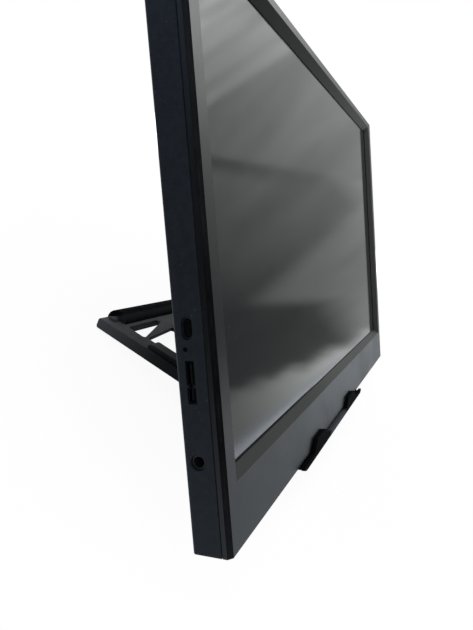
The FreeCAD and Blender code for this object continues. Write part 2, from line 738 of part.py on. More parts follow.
# Back plate with ledge, front lip, hooks, hinge lugs and stop ribs
def make_back_rest():
    s = STAND_OFFSET
    plate = block(s - plate_w / 2, s + plate_w / 2, plate_front, plate_back, ledge_low, PLATE_TOP)
    top_edges = []
    for edge in edges_along(plate, Y_AXIS):
        if edge.BoundBox.ZMin > PLATE_TOP / 2:
            top_edges.append(edge)
    plate = plate.makeFillet(PLATE_R, top_edges)
    end = ledge_w / 2
    ledge = block(s - end + LIP_END_IN, s + end - LIP_END_IN, lip_front, plate_back,
                  ledge_low, ledge_top)
    outline = [V(s - end, lip_front, LIP_TOP), V(s - end, lip_front, ledge_low + LIP_END_UP),
               V(s - end + LIP_END_IN, lip_front, ledge_low),
               V(s + end - LIP_END_IN, lip_front, ledge_low),
               V(s + end, lip_front, ledge_low + LIP_END_UP), V(s + end, lip_front, LIP_TOP)]
    lip = rounded_face(outline, LIP_ROUND).extrude(V(0, LIP_T, 0))
    pieces = [plate, ledge, lip]
    for side in (-1, 1):
        mid = s + side * HOOK_PITCH / 2
        wide = HOOK_W / 2
        points = [V(mid - wide - HOOK_SHOULDER, lip_front, ledge_low),
                  V(mid + wide + HOOK_SHOULDER, lip_front, ledge_low),
                  V(mid + wide - HOOK_SHOULDER, lip_front, HOOK_TOP),
                  V(mid - wide + HOOK_SHOULDER, lip_front, HOOK_TOP)]
        hook = rounded_face(points, HOOK_ROUND)
        pieces.append(hook.extrude(V(0, LIP_T, 0)))
        x0 = s + side * lug_in
        barrel = rod(V(x0, hinge_d, HINGE_V), X_AXIS * side, KNUCKLE_R, LUG_W)
        low_x, high_x = sorted((x0, x0 + side * LUG_W))
        web = block(low_x, high_x, plate_back - PLATE_T / 2, hinge_d,
                    HINGE_V - KNUCKLE_R, HINGE_V + KNUCKLE_R)
        pieces.append(barrel)
        pieces.append(web)
        pieces.append(make_stop(s + side * STOP_X))
    shape = fused(pieces)
    tools = []
    rows_h = PLATE_TOP - REST_TOP_RIM - REST_ROW_LOW
    row_h = (rows_h - (REST_ROWS - 1) * REST_ROW_GAP) / REST_ROWS
    for side in (-1, 1):
        start = V(s + side * (lug_in - OVER), hinge_d, HINGE_V)
        tools.append(rod(start, X_AXIS * side, PIN_R + THREAD_FIT, LUG_W + OVER * 2))
        for row in range(REST_ROWS):
            low = REST_ROW_LOW + row * (row_h + REST_ROW_GAP)
            inner = s + side * REST_SPINE / 2
            outer = inner + side * REST_WIN_W
            if row % 2:
                inner, outer = outer, inner
            points = [V(inner, plate_front - OVER, low), V(outer, plate_front - OVER, low),
                      V(inner, plate_front - OVER, low + row_h)]
            tools.append(rounded_face(points, WINDOW_R).extrude(V(0, PLATE_T + OVER * 2, 0)))
    return cut_all(shape, tools)


# Rubber pads of the stand
def make_pads():
    s = STAND_OFFSET
    ledge_pads = []
    rest_pads = []
    for side in (-1, 1):
        mid = s + side * HOOK_PITCH / 2
        pad = block(mid - LEDGE_PAD_W / 2, mid + LEDGE_PAD_W / 2, LEDGE_PAD_INSET,
                    LEDGE_PAD_INSET + LEDGE_PAD_DEEP, ledge_top, ledge_top + PAD_T)
        ledge_pads.append(pad.makeFillet(LEDGE_PAD_INSET, edges_along(pad, Z_AXIS)))
        for v in (REST_PAD_LOW, PLATE_TOP - REST_PAD_DROP):
            centre = V(s + side * (plate_w / 2 - REST_PAD_SIDE), plate_front, v)
            rest_pads.append(rod(centre, Y_AXIS * -1, REST_PAD_R, PAD_T))
    return {"ledge_pads": Part.makeCompound(ledge_pads), "rest_pads": Part.makeCompound(rest_pads)}


# Friction hinge: headed pin, spring washers and nut at each side
def make_hinge():
    s = STAND_OFFSET
    pins = []
    washers = []
    nuts = []
    for side in (-1, 1):
        way = X_AXIS * side
        centre = V(s, hinge_d, HINGE_V)
        tail = lug_in - NUT_T - PIN_TAIL
        head = leg_half - PIN_HEAD_SET - PIN_HEAD_T
        pin = rod(centre + way * tail, way, PIN_R, head - tail)
        cap = rod(centre + way * head, way, PIN_HEAD_R, PIN_HEAD_T)
        pin = pin.fuse(cap).removeSplitter()
        recess = cross_recess(centre + way * (head + PIN_HEAD_T), way * -1, Z_AXIS, PIN_HEAD_R)
        pins.append(cut_all(pin, recess))
        for i in range(WASHERS):
            start = centre + way * (lug_out + i * WASHER_T)
            ring = rod(start, way, WASHER_R, WASHER_T)
            washers.append(ring.cut(rod(start - way * OVER, way, PIN_R + THREAD_FIT,
                                        WASHER_T + OVER * 2)))
        start = centre + way * (lug_in - NUT_T)
        ring = []
        for i in range(NUT_SIDES + 1):
            turn = 2 * math.pi * i / NUT_SIDES
            ring.append(start + V(0, NUT_R * math.cos(turn), NUT_R * math.sin(turn)))
        nut = Part.Face(Part.makePolygon(ring)).extrude(way * NUT_T)
        nuts.append(nut.cut(rod(start - way * OVER, way, PIN_R + THREAD_FIT, NUT_T + OVER * 2)))
    return {"hinge_pins": Part.makeCompound(pins), "friction_washers": Part.makeCompound(washers),
            "hinge_nuts": Part.makeCompound(nuts)}


# Openwork leg, drawn flat: hinge line at zero, length along Y, top face up
def make_leg():
    s = STAND_OFFSET
    half_t = LEG_T / 2
    plate = block(s - leg_half, s + leg_half, LEG_ROOT, LEG_END, -half_t, half_t)
    end_edges = [e for e in edges_along(plate, X_AXIS) if e.BoundBox.YMin > LEG_END - half_t]
    plate = plate.makeFillet(END_ROUND, end_edges)
    pieces = [plate]
    for side in (-1, 1):
        way = X_AXIS * side
        inner = s + side * (leg_half - KNUCKLE_W)
        pieces.append(rod(V(inner, 0, 0), way, KNUCKLE_R, KNUCKLE_W))
        x0, x1 = sorted((inner, s + side * leg_half))
        pieces.append(block(x0, x1, 0, LEG_ROOT + OVER, -half_t, half_t))
        rail_out = s + side * (leg_half - RAIL_EDGE)
        rail_in = rail_out - side * RAIL_W
        x0, x1 = sorted((rail_in, rail_out))
        rail = block(x0, x1, RAIL_FROM, LEG_END - RAIL_BACK, 0, half_t + RAIL_RISE)
        crest = [e for e in edges_along(rail, X_AXIS) if e.BoundBox.ZMin > half_t]
        pieces.append(rail.makeFillet(RAIL_RISE * ROUND_SHARE, crest))
    shape = fused(pieces)
    tools = []
    sleeve_in = SLEEVE_GAP + FOOT_R
    tools.append(block(s - leg_half + SIDE_RAIL, s + leg_half - SIDE_RAIL, foot_at - sleeve_in,
                       LEG_END + OVER, -LEG_T, LEG_T))
    base = LEG_END

    def window(points):
        return rounded_face(points, PANE_R).extrude(V(0, 0, LEG_T * 2))

    hollow = block(s - leg_half + WEB_RIM, s + leg_half - WEB_RIM, WEB_FROM, base - END_RAIL + PANE_R,
                   -LEG_T, half_t - WEB_T)
    tools.append(hollow.makeFillet(WEB_R, edges_along(hollow, Z_AXIS)))

    for side in (-1, 1):
        edge = s + side * (leg_half - FAN_SIDE)
        inward = -side
        slim_x = s + side * (leg_half - PANE_SIDE)
        slim = [V(slim_x, base - END_RAIL, -LEG_T), V(slim_x + inward * SLIM_W, base - END_RAIL, -LEG_T),
                V(slim_x, base - END_RAIL - SLIM_H, -LEG_T)]
        fan = [V(edge, base - FAN_TOP, -LEG_T),
               V(edge + inward * FAN_W, base - FAN_TOP + FAN_RISE, -LEG_T),
               V(edge, base - FAN_TOP - FAN_H, -LEG_T)]
        slant_top = base - FAN_TOP + FAN_RISE - FAN_WEB
        slant_low = base - FAN_TOP - FAN_H
        fan_left = FAN_W - FAN_W * FAN_WEB / (FAN_H + FAN_RISE)
        slant = [V(edge + inward * (fan_left + SLANT_GAP), slant_top, -LEG_T),
                 V(s - inward * SLANT_GAP, slant_top, -LEG_T),
                 V(s - inward * (CENTRE_W / 2 + CENTRE_GAP), slant_low, -LEG_T),
                 V(edge + inward * SLANT_GAP, slant_low, -LEG_T)]
        tools.append(window(slim))
        tools.append(window(fan))
        tools.append(window(slant))
        bore = V(s + side * (leg_half - KNUCKLE_W - OVER), 0, 0)
        tools.append(rod(bore, X_AXIS * side, PIN_R + PIN_FIT, KNUCKLE_W + OVER * 2))
        seat = V(s + side * (leg_half - PIN_HEAD_SET - PIN_HEAD_T - PIN_HEAD_GAP), 0, 0)
        tools.append(rod(seat, X_AXIS * side, PIN_HEAD_R + PIN_HEAD_GAP, KNUCKLE_W))
    centre = [V(s - CENTRE_W / 2, base - CENTRE_TOP - CENTRE_H, -LEG_T),
              V(s + CENTRE_W / 2, base - CENTRE_TOP - CENTRE_H, -LEG_T),
              V(s, base - CENTRE_TOP, -LEG_T)]
    tools.append(window(centre))
    shape = cut_all(shape, tools)
    core = rod(V(s - leg_half + SIDE_RAIL / 2, foot_at, FOOT_RISE), X_AXIS, CORE_R, LEG_W - SIDE_RAIL)
    shape = shape.fuse(core).removeSplitter()
    apron = block(s - APRON_W, s + APRON_W, APRON_FROM, base - FAN_TOP - FAN_H - APRON_RIM,
                  half_t - APRON_DEEP, LEG_T)
    return shape.cut(apron.makeFillet(APRON_R, edges_along(apron, Z_AXIS)))


def make_foot_sleeve():
    s = STAND_OFFSET
    start = V(s - leg_half + SIDE_RAIL, foot_at, FOOT_RISE)
    length = LEG_W - SIDE_RAIL * 2
    return rod(start, X_AXIS, FOOT_R, length).cut(
        rod(start - X_AXIS * OVER, X_AXIS, CORE_R + SLEEVE_FIT, length + OVER * 2))


def leaning(shape):
    placed = shape.copy()
    placed.rotate(V(0, 0, 0), X_AXIS, -LEAN)
    placed.translate(shift)
    return placed


def sloping(shape):
    placed = shape.copy()
    placed.rotate(V(0, 0, 0), X_AXIS, -math.degrees(slope))
    placed.translate(V(0, hinge_y, hinge_z))
    return placed


def above_table(shape):
    low = block(-MON_W, MON_W, -MON_W, MON_W, -MON_H, 0)
    return shape.cut(low)


# Rubber pads round the heel of the back plate, flat on the table
def make_heel_pads():
    pads = []
    for side in (-1, 1):
        mid = STAND_OFFSET + side * (plate_w / 2 - HEEL_PAD_SIDE)
        x0 = mid - HEEL_PAD_W / 2
        x1 = mid + HEEL_PAD_W / 2
        wrap = block(x0, x1, plate_back - HEEL_PAD_LOW, plate_back + HEEL_PAD_T,
                     ledge_low - HEEL_PAD_T, ledge_low + HEEL_PAD_UP)
        inside = block(x0 - OVER, x1 + OVER, plate_back - HEEL_PAD_LOW - OVER, plate_back,
                       ledge_low, ledge_low + HEEL_PAD_UP + OVER)
        pads.append(above_table(leaning(wrap.cut(inside))))
    return Part.makeCompound(pads)


nodes = {"front_bezel": leaning(make_front_bezel()), "rear_cover": leaning(make_rear_cover()),
         "cover_screws": leaning(make_cover_screws()), "back_rest": leaning(make_back_rest())}
for group in (make_panel(), make_board(), make_side(), make_pads(), make_hinge()):
    for name, shape in group.items():
        nodes[name] = leaning(shape)
nodes["heel_pads"] = make_heel_pads()
nodes["leg"] = sloping(make_leg())
nodes["foot_sleeve"] = above_table(sloping(make_foot_sleeve()))

os.makedirs("parts", exist_ok=True)
for name, shape in nodes.items():
    shape.exportStep(os.path.join("parts", name + ".step"))
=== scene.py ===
import bmesh
import bpy
import math
from mathutils import Matrix, Vector


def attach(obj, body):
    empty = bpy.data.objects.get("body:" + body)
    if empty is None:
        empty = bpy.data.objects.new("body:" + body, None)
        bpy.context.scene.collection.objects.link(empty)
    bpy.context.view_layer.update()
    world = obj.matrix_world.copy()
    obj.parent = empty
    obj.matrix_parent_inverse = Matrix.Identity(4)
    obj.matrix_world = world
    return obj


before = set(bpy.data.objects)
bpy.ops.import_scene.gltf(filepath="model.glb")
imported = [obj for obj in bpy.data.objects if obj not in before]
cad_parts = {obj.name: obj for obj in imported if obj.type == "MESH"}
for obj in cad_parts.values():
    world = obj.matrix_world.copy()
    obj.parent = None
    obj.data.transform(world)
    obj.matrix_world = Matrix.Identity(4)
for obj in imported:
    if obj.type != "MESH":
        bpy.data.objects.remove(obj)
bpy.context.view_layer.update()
scene = bpy.context.scene
MM = 0.001

# Lean of the monitor, and the low front edge of its housing in the row frame
LEAN = math.radians(38.3)
LOW_EDGE = Vector((0.0, -62.448, 13.965)) * MM


def box(low, high):
    """Two opposite corners of a box, given in millimetres."""
    return Vector(low) * MM, Vector(high) * MM


# Boxes measured across, deep and up from the low front edge of the monitor
HOUSING = box((-154.8, 0.0, 0.0), (154.8, 13.2, 190.5))
LOW_SLOPE = box((-147.2, -1.0, 21.0), (147.2, 20.0, 26.0))
RIGHT_SLOPE = box((143.9, -1.0, 22.0), (147.2, 20.0, 184.0))
SHINY_GLASS = box((-143.7, -1.0, 25.1), (143.7, 20.0, 181.4))

# Strip of the stand between its hooks, in the row frame
BETWEEN_HOOKS = box((-38.0, -200.0, -200.0), (4.0, 200.0, 200.0))

TO_RIGHT = (1.0, 0.0, 0.0)
TO_BACK = (0.0, 1.0, 0.0)


# Node helpers

def node(tree, kind, **values):
    made = tree.nodes.new(kind)
    for key, value in values.items():
        setattr(made, key, value)
    return made


def feed(tree, value, socket):
    """Links a socket to another one, or sets its own value."""
    if isinstance(value, bpy.types.NodeSocket):
        tree.links.new(value, socket)
    else:
        socket.default_value = value


def maths(tree, operation, first, second):
    made = node(tree, "ShaderNodeMath", operation=operation)
    feed(tree, first, made.inputs[0])
    feed(tree, second, made.inputs[1])
    return made.outputs[0]


def plus(tree, first, *more):
    for other in more:
        first = maths(tree, "ADD", first, other)
    return first


def times(tree, first, second):
    return maths(tree, "MULTIPLY", first, second)


def larger(tree, first, second):
    return maths(tree, "MAXIMUM", first, second)


def smaller(tree, first, second):
    return maths(tree, "MINIMUM", first, second)


def ranged(tree, value, start, stop, at_start=0.0, at_stop=1.0):
    """Goes smoothly from one level to another while a value goes from start to stop."""
    made = node(tree, "ShaderNodeMapRange", interpolation_type="SMOOTHSTEP")
    feed(tree, value, made.inputs["Value"])
    feed(tree, start, made.inputs["From Min"])
    feed(tree, stop, made.inputs["From Max"])
    feed(tree, at_start, made.inputs["To Min"])
    feed(tree, at_stop, made.inputs["To Max"])
    return made.outputs["Result"]


def tint(tree, mask, first, second):
    """Mixes two colours, each a tuple or a socket."""
    made = node(tree, "ShaderNodeMix", data_type="RGBA")
    feed(tree, mask, made.inputs[0])
    for socket, value in zip(made.inputs[6:8], (first, second)):
        feed(tree, (*value, 1.0) if isinstance(value, tuple) else value, socket)
    return made.outputs[2]


def noise(tree, vector, scale, detail, rough=0.55, distortion=0.0):
    made = node(tree, "ShaderNodeTexNoise")
    feed(tree, vector, made.inputs["Vector"])
    feed(tree, scale, made.inputs["Scale"])
    feed(tree, detail, made.inputs["Detail"])
    feed(tree, rough, made.inputs["Roughness"])
    feed(tree, distortion, made.inputs["Distortion"])
    return made.outputs["Fac"]


def object_place(tree):
    return node(tree, "ShaderNodeTexCoord").outputs["Object"]


def split(tree, vector):
    """The three parts of a vector."""
    parts = node(tree, "ShaderNodeSeparateXYZ")
    feed(tree, vector, parts.inputs[0])
    return parts.outputs


# Shared effects

VECTOR = "NodeSocketVector"
NUMBER = "NodeSocketFloat"
PLACE = ("Vector", VECTOR, (0, 0, 0))
BOX = [PLACE, ("Low", VECTOR, (-1, -1, -1)), ("High", VECTOR, (1, 1, 1))]

# Scales, shares, and bands with the start and stop of a value and the levels there
BROAD_SCALE, BROAD_SHARE = 0.31, 0.6
GRAIN_TONE = (0.35, 0.65)
STREAK_SCALE = 7.0
MARK_CLOUDS = (0.42, 0.68)
MARK_STREAKS = (0.25, 0.6, 0.55, 1.0)
PATCH_SCALE = 160.0
PATCHES = (0.4, 0.7)
SPECKS = (0.05, 0.14, 1.0, 0.0)
GATHERED_SCALE = 38.0
GATHERED = (0.5, 0.66)


def effect(name, inputs, outputs=("Mask",)):
    """A node group with its given sockets and the sockets that it feeds."""
    tree = bpy.data.node_groups.new(name, "ShaderNodeTree")
    for label, kind, value in inputs:
        socket = tree.interface.new_socket(label, in_out="INPUT", socket_type=kind)
        socket.default_value = value
    for label in outputs:
        tree.interface.new_socket(label, in_out="OUTPUT", socket_type=NUMBER)
    given = tree.nodes.new("NodeGroupInput").outputs
    return tree, given, tree.nodes.new("NodeGroupOutput").inputs


def make_moulded_grain():
    """Fine moulding grain, as a height and as a tone."""
    inputs = [PLACE, ("Scale", NUMBER, 1500.0)]
    tree, given, out = effect("moulded_grain", inputs, ("Height", "Tone"))
    fine = noise(tree, given["Vector"], given["Scale"], detail=2.0)
    scale = times(tree, given["Scale"], BROAD_SCALE)
    broad = noise(tree, given["Vector"], scale, detail=3.0)
    feed(tree, plus(tree, fine, times(tree, broad, BROAD_SHARE)), out["Height"])
    feed(tree, ranged(tree, broad, *GRAIN_TONE), out["Tone"])
    return tree


def make_hand_marks():
    """Cloudy marks of hands, broken up by fine streaks."""
    tree, given, out = effect("hand_marks", [PLACE, ("Scale", NUMBER, 22.0)])
    cloud = noise(tree, given["Vector"], given["Scale"], detail=5.0, rough=0.6, distortion=0.8)
    scale = times(tree, given["Scale"], STREAK_SCALE)
    streak = noise(tree, given["Vector"], scale, detail=2.0)
    cloud = ranged(tree, cloud, *MARK_CLOUDS)
    feed(tree, times(tree, cloud, ranged(tree, streak, *MARK_STREAKS)), out["Mask"])
    return tree


def inset_from(tree, given):
    """Distance inwards from the nearer side of a box, across, deep and up."""
    near = node(tree, "ShaderNodeVectorMath", operation="MINIMUM")
    for index, (first, second) in enumerate((("Vector", "Low"), ("High", "Vector"))):
        reach = node(tree, "ShaderNodeVectorMath", operation="SUBTRACT")
        feed(tree, given[first], reach.inputs[0])
        feed(tree, given[second], reach.inputs[1])
        feed(tree, reach.outputs[0], near.inputs[index])
    return split(tree, near.outputs[0])


def make_rubbed_edges():
    """Patchy wear where two sides of a box meet."""
    tree, given, out = effect("rubbed_edges", [*BOX, ("Width", NUMBER, 0.0008)])
    across, deep, up = inset_from(tree, given)
    least = smaller(tree, across, deep)
    most = larger(tree, across, deep)
    second = larger(tree, least, smaller(tree, most, up))
    edge = ranged(tree, second, 0.0, given["Width"], 1.0, 0.0)
    patchy = noise(tree, given["Vector"], PATCH_SCALE, detail=4.0, rough=0.65)
    feed(tree, times(tree, edge, ranged(tree, patchy, *PATCHES)), out["Mask"])
    return tree


def make_matt_slope():
    """Inside of a box, seen from the front."""
    tree, given, out = effect("matt_slope", [*BOX, ("Width", NUMBER, 0.0003)])
    across, _, up = inset_from(tree, given)
    feed(tree, ranged(tree, smaller(tree, across, up), 0.0, given["Width"]), out["Mask"])
    return tree


def make_settled_dust():
    """Specks of dust, gathered in places."""
    tree, given, out = effect("settled_dust", [PLACE, ("Scale", NUMBER, 600.0)])
    cells = node(tree, "ShaderNodeTexVoronoi", feature="F1")
    feed(tree, given["Vector"], cells.inputs["Vector"])
    feed(tree, given["Scale"], cells.inputs["Scale"])
    speck = ranged(tree, cells.outputs["Distance"], *SPECKS)
    where = noise(tree, given["Vector"], GATHERED_SCALE, detail=3.0)
    feed(tree, times(tree, speck, ranged(tree, where, *GATHERED)), out["Mask"])
    return tree


def make_tone_fade():
    """Goes from nothing to all along a direction."""
    inputs = [
        PLACE,
        ("Direction", VECTOR, TO_BACK),
        ("Start", NUMBER, 0.0),
        ("Stop", NUMBER, 1.0),
    ]
    tree, given, out = effect("tone_fade", inputs)
    reach = node(tree, "ShaderNodeVectorMath", operation="DOT_PRODUCT")
    feed(tree, given["Vector"], reach.inputs[0])
    feed(tree, given["Direction"], reach.inputs[1])
    part = ranged(tree, reach.outputs["Value"], given["Start"], given["Stop"])
    feed(tree, part, out["Mask"])
    return tree


GRAIN = make_moulded_grain()
MARKS = make_hand_marks()
RUBBED = make_rubbed_edges()
MATT = make_matt_slope()
DUST = make_settled_dust()
FADE = make_tone_fade()


# Finishes

# Directions of change with the places where they start and stop, in metres
SMOOTHER_RIGHT = (TO_RIGHT, -0.09, 0.05)
# Painted shadow: where the display's dark border, the shadow of the gap to the frame, ends to the
# right
GAP_SHADOW_END = (TO_RIGHT, -0.10, -0.02)

# Tones that a piece goes over to, each with its direction, start and stop
# Painted light: the leg goes over to a lighter tone towards its tip, away from the shade under the
# monitor
PAINTED_LIGHT_TIP = ((0.066, 0.070, 0.076), TO_BACK, 0.010, 0.058)
# Painted shade: the back rest stays darkest at its hooks at the front, and goes over to a greyer
# tone towards the back
HOOKS_PAINTED_SHADE = ((0.015, 0.0165, 0.0198), TO_BACK, -0.056, -0.040)
# Painted shade: the foot sleeve goes over to a darker tone on its upper back side
SLEEVE_PAINTED_SHADE = ((0.0034, 0.0039, 0.0048), (0.0, 0.73, 0.68), 0.0412, 0.0438)

# Painted light: paler tone of the lit strip between the hooks, and how softly it ends
PAINTED_LIGHT_STRIP = ((0.050, 0.054, 0.060), BETWEEN_HOOKS, 0.006)

# Width of the rubbed edges of the housing
RUBBED_WIDTH = 0.0011

# Roughness of each slope round the display, at its left and at its right
MATT_SLOPES = ((LOW_SLOPE, (0.6, 0.34)), (RIGHT_SLOPE, (0.52, 0.52)))

# Middle part of a streaky noise
STREAK_LOW, STREAK_HIGH = 0.3, 0.7


class Finish:
    """A material, with the places that its nodes are measured from."""

    def __init__(self, name, specular=0.5, metallic=0.0):
        self.material = bpy.data.materials.new(name)
        self.material.use_nodes = True
        self.tree = self.material.node_tree
        self.shader = self.tree.nodes["Principled BSDF"].inputs
        self.shader["Specular IOR Level"].default_value = specular
        self.shader["Metallic"].default_value = metallic
        self.place = object_place(self.tree)

    def mapped(self, **values):
        made = node(self.tree, "ShaderNodeMapping", vector_type="POINT")
        feed(self.tree, self.place, made.inputs["Vector"])
        for label, value in values.items():
            made.inputs[label].default_value = value
        return made.outputs["Vector"]

    def upright(self):
        """Measures places across, deep and up from the low front edge of the monitor."""
        moved = -(Matrix.Rotation(LEAN, 3, "X") @ LOW_EDGE)
        self.place = self.mapped(Rotation=(LEAN, 0.0, 0.0), Location=moved)

    def use(self, group, **values):
        made = node(self.tree, "ShaderNodeGroup", node_tree=group)
        feed(self.tree, self.place, made.inputs["Vector"])
        for label, value in values.items():
            made.inputs[label].default_value = value
        return made.outputs

    def mask(self, group, **values):
        return self.use(group, **values)["Mask"]

    def inside(self, corners, **values):
        return self.mask(MATT, Low=corners[0], High=corners[1], **values)

    def faded(self, direction, start, stop):
        """Mask along a direction, from start to stop in metres from the origin."""
        return self.mask(FADE, Direction=direction, Start=start, Stop=stop)

    def mixed(self, mask, first, second):
        return tint(self.tree, mask, first, second)

    def gone_over(self, tone, other, direction, start, stop):
        """One tone that goes over to another along a direction."""
        return self.mixed(self.faded(direction, start, stop), tone, other)

    def dusty(self, tone, scale, share, dust):
        specks = times(self.tree, self.mask(DUST, Scale=scale), share)
        return self.mixed(specks, tone, dust)

    def between(self, mask, levels):
        return ranged(self.tree, mask, 0.0, 1.0, *levels)

    def colour(self, socket):
        feed(self.tree, socket, self.shader["Base Color"])

    def roughness(self, socket):
        feed(self.tree, socket, self.shader["Roughness"])

    def bump(self, height, depth):
        made = node(self.tree, "ShaderNodeBump")
        made.inputs["Strength"].default_value = 1.0
        made.inputs["Distance"].default_value = depth
        feed(self.tree, height, made.inputs["Height"])
        feed(self.tree, made.outputs["Normal"], self.shader["Normal"])


def moulded_plastic(
    name, dark, light, rough, grain, depth, specular, rubbed=None, slopes=(), strip=None, fade=None
):
    """Textured plastic: two close tones, hand marks in the gloss and a little dust.

    A piece of the leaning housing has a tone for its rubbed edges, and may have matt slopes. A
    strip and a fade along a direction paint light and shade onto a piece.
    """
    made = Finish(name, specular)
    if rubbed:
        made.upright()
    texture = made.use(GRAIN, Scale=grain)
    tone = made.mixed(texture["Tone"], dark, light)
    if strip:
        paler, corners, width = strip
        tone = made.mixed(made.inside(corners, Width=width), tone, paler)
    if fade:
        tone = made.gone_over(tone, *fade)
    if rubbed:
        low, high = HOUSING
        edge = made.mask(RUBBED, Low=low, High=high, Width=RUBBED_WIDTH)
        tone = made.mixed(edge, tone, rubbed)
    made.colour(made.dusty(tone, scale=520.0, share=0.35, dust=(0.16, 0.16, 0.155)))
    gloss = made.between(made.mask(MARKS, Scale=24.0), rough)
    for corners, levels in slopes:
        matt = made.between(made.faded(*SMOOTHER_RIGHT), levels)
        gloss = made.between(made.inside(corners), (gloss, matt))
    made.roughness(gloss)
    made.bump(texture["Height"], depth)
    return made.material


def display_surface(name, gap_shadow, dark, light, smeared, wiped, depth):
    """Switched-off display: nearly black, wiped, with a matt border, painted dark as the shadow of
    the gap to the frame, that ends to the right.
    """
    made = Finish(name)
    made.upright()
    smear = made.mask(MARKS, Scale=14.0)
    lines = noise(made.tree, made.mapped(Scale=(9.0, 1.0, 60.0)), scale=1.0, detail=4.0)
    streaks = ranged(made.tree, lines, STREAK_LOW, STREAK_HIGH, *wiped)
    rough = plus(made.tree, made.between(smear, smeared), streaks)
    shiny = larger(made.tree, made.inside(SHINY_GLASS), made.faded(*GAP_SHADOW_END))
    made.roughness(made.between(shiny, (1.0, rough)))
    tone = made.mixed(smear, dark, light)
    tone = made.dusty(tone, scale=420.0, share=0.25, dust=(0.2, 0.2, 0.2))
    # The dark border colour is a painted shadow of the gap to the frame
    made.colour(made.mixed(shiny, gap_shadow, tone))
    made.bump(made.use(GRAIN, Scale=2600.0)["Height"], depth)
    return made.material


def soft_rubber(
    name, tone, worn, rough=(0.62, 0.78), depth=0.00005, specular=0.3, fade=None
):
    made = Finish(name, specular)
    texture = made.use(GRAIN, Scale=1100.0)
    colour = made.mixed(made.mask(MARKS, Scale=60.0), tone, worn)
    if fade:
        colour = made.gone_over(colour, *fade)
    made.colour(colour)
    made.roughness(made.between(texture["Tone"], rough))
    made.bump(texture["Height"], depth)
    return made.material


def drawn_metal(name, tone, dull, rough, streak, depth=0.00002):
    made = Finish(name, metallic=1.0)
    lines = noise(made.tree, made.mapped(Scale=streak), scale=1.0, detail=3.0)
    made.colour(made.mixed(made.mask(MARKS, Scale=90.0), tone, dull))
    made.roughness(ranged(made.tree, lines, STREAK_LOW, STREAK_HIGH, *rough))
    made.bump(lines, depth)
    return made.material


def coated_board(name, tone, dark, rough=(0.3, 0.42), depth=0.00002):
    made = Finish(name)
    texture = made.use(GRAIN, Scale=420.0)
    made.colour(made.mixed(texture["Tone"], tone, dark))
    made.roughness(made.between(made.mask(MARKS, Scale=70.0), rough))
    made.bump(texture["Height"], depth)
    return made.material


def clear_plastic(
    name, tone, dark, clear, specular, rough=(0.08, 0.2), depth=0.000006, bending=1.49
):
    made = Finish(name, specular)
    marks = made.mask(MARKS, Scale=120.0)
    made.colour(made.mixed(marks, tone, dark))
    made.roughness(made.between(marks, rough))
    made.bump(made.use(GRAIN, Scale=3000.0)["Height"], depth)
    made.shader["Transmission Weight"].default_value = clear
    made.shader["IOR"].default_value = bending
    return made.material


PLASTICS = {
    "bezel_black": dict(
        dark=(0.0007, 0.0010, 0.0018), light=(0.0012, 0.0016, 0.0025), rough=(0.30, 0.34),
        grain=1500.0, depth=0.00002, specular=0.5, rubbed=(0.03, 0.03, 0.032), slopes=MATT_SLOPES,
    ),
    "cover_black": dict(
        dark=(0.0078, 0.0113, 0.0172), light=(0.0102, 0.0142, 0.0208), rough=(0.44, 0.52),
        grain=1300.0, depth=0.00004, specular=0.2, rubbed=(0.05, 0.052, 0.056),
    ),
    # The back rest's fade paints shade on its hooks, and its strip paints light between them
    "rest_black": dict(
        dark=(0.0020, 0.0025, 0.0034), light=(0.0028, 0.0034, 0.0045), rough=(0.56, 0.66),
        grain=1400.0, depth=0.00003, specular=0.008, strip=PAINTED_LIGHT_STRIP, fade=HOOKS_PAINTED_SHADE,
    ),
    # The leg's fade is a painted light on its tip
    "leg_black": dict(
        dark=(0.0082, 0.0092, 0.0112), light=(0.0106, 0.0118, 0.0142), rough=(0.52, 0.62),
        grain=1400.0, depth=0.00003, specular=0.08, fade=PAINTED_LIGHT_TIP,
    ),
    "socket_black": dict(
        dark=(0.003, 0.003, 0.0034), light=(0.005, 0.005, 0.0055), rough=(0.40, 0.50),
        grain=2200.0, depth=0.00001, specular=0.2,
    ),
    "jack_black": dict(
        dark=(0.016, 0.018, 0.021), light=(0.022, 0.024, 0.027), rough=(0.36, 0.46),
        grain=2200.0, depth=0.00001, specular=0.4,
    ),
    "button_black": dict(
        dark=(0.0014, 0.0017, 0.0021), light=(0.0020, 0.0024, 0.0029), rough=(0.42, 0.52),
        grain=1900.0, depth=0.00002, specular=0.06,
    ),
    "chip_black": dict(
        dark=(0.012, 0.012, 0.013), light=(0.02, 0.02, 0.021), rough=(0.5, 0.6),
        grain=2600.0, depth=0.00002, specular=0.4,
    ),
}
DISPLAYS = {
    "display_off": dict(
        gap_shadow=(0.0008, 0.0008, 0.0010), dark=(0.010, 0.011, 0.012), light=(0.014, 0.015, 0.016),
        smeared=(0.06, 0.085), wiped=(0.0, 0.02), depth=0.000004,
    ),
}
CLEARS = {
    "guide_clear": dict(
        tone=(0.82, 0.85, 0.86), dark=(0.74, 0.78, 0.8), clear=0.6, specular=0.5,
    ),
    "pipe_smoke": dict(
        tone=(0.0016, 0.0017, 0.0019), dark=(0.0012, 0.0012, 0.0014), clear=0.1, specular=0.05,
    ),
}
RUBBERS = {
    "pad_rubber": dict(tone=(0.014, 0.014, 0.015), worn=(0.026, 0.026, 0.026)),
    # The sleeve's fade paints shade on its upper back side
    "sleeve_rubber": dict(
        tone=(0.022, 0.025, 0.028), worn=(0.030, 0.033, 0.037), specular=0.012, fade=SLEEVE_PAINTED_SHADE,
    ),
    "gasket_foam": dict(tone=(0.02, 0.02, 0.02), worn=(0.03, 0.03, 0.03)),
}
